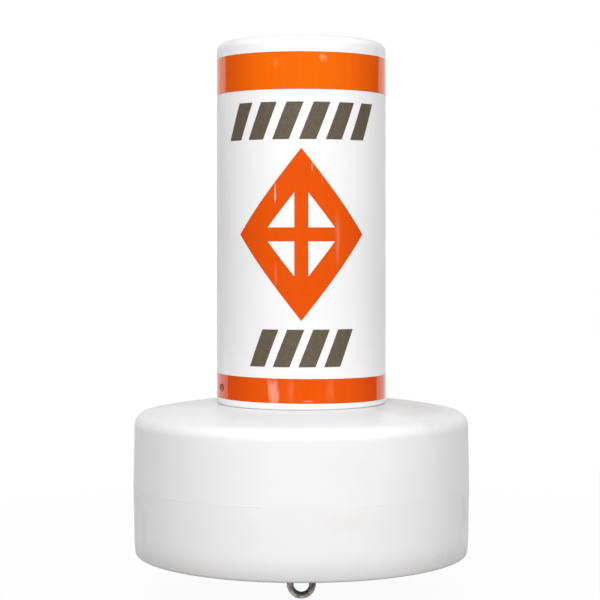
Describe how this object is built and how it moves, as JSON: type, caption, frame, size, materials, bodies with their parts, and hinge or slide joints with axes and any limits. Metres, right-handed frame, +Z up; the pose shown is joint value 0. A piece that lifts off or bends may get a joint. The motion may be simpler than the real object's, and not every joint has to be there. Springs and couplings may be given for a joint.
{
  "type": "float collar buoy",
  "caption": "Upright marker buoy: a cylindrical post with reflective bands and a diamond sign, in a wide float collar, with a mooring eye beneath.",
  "frame": {"origin": "centre of the mooring eye's opening, on the buoy's axis", "axes": "+Z up the post's axis, -Y out through the diamond sign, +X to the right of the sign"},
  "size_m": [0.4546, 0.4546, 0.7544],
  "materials": {
    "white_plastic": "moulded polyethylene, soft gloss",
    "orange_film": "retro-reflective film, glossy",
    "steel": "galvanised, dulled",
    "cast_ballast": "as cast",
    "foam": "closed-cell foam, matte"
  },
  "bodies": {
    "root": {"post_shell": "white_plastic", "post_foam": "foam", "collar_shell": "white_plastic", "collar_foam": "foam", "collar_plug": "white_plastic", "stem": "white_plastic", "stem_foam": "foam", "ballast": "cast_ballast", "eye_bolt": "steel", "eye_washer_upper": "steel", "eye_washer_lower": "steel", "eye_nut_upper": "steel", "eye_nut_lower": "steel", "upper_band": "orange_film", "lower_band": "orange_film", "diamond_sign": "orange_film", "post_screw_front": "steel", "post_screw_back": "steel"}
  },
  "joints": []
}
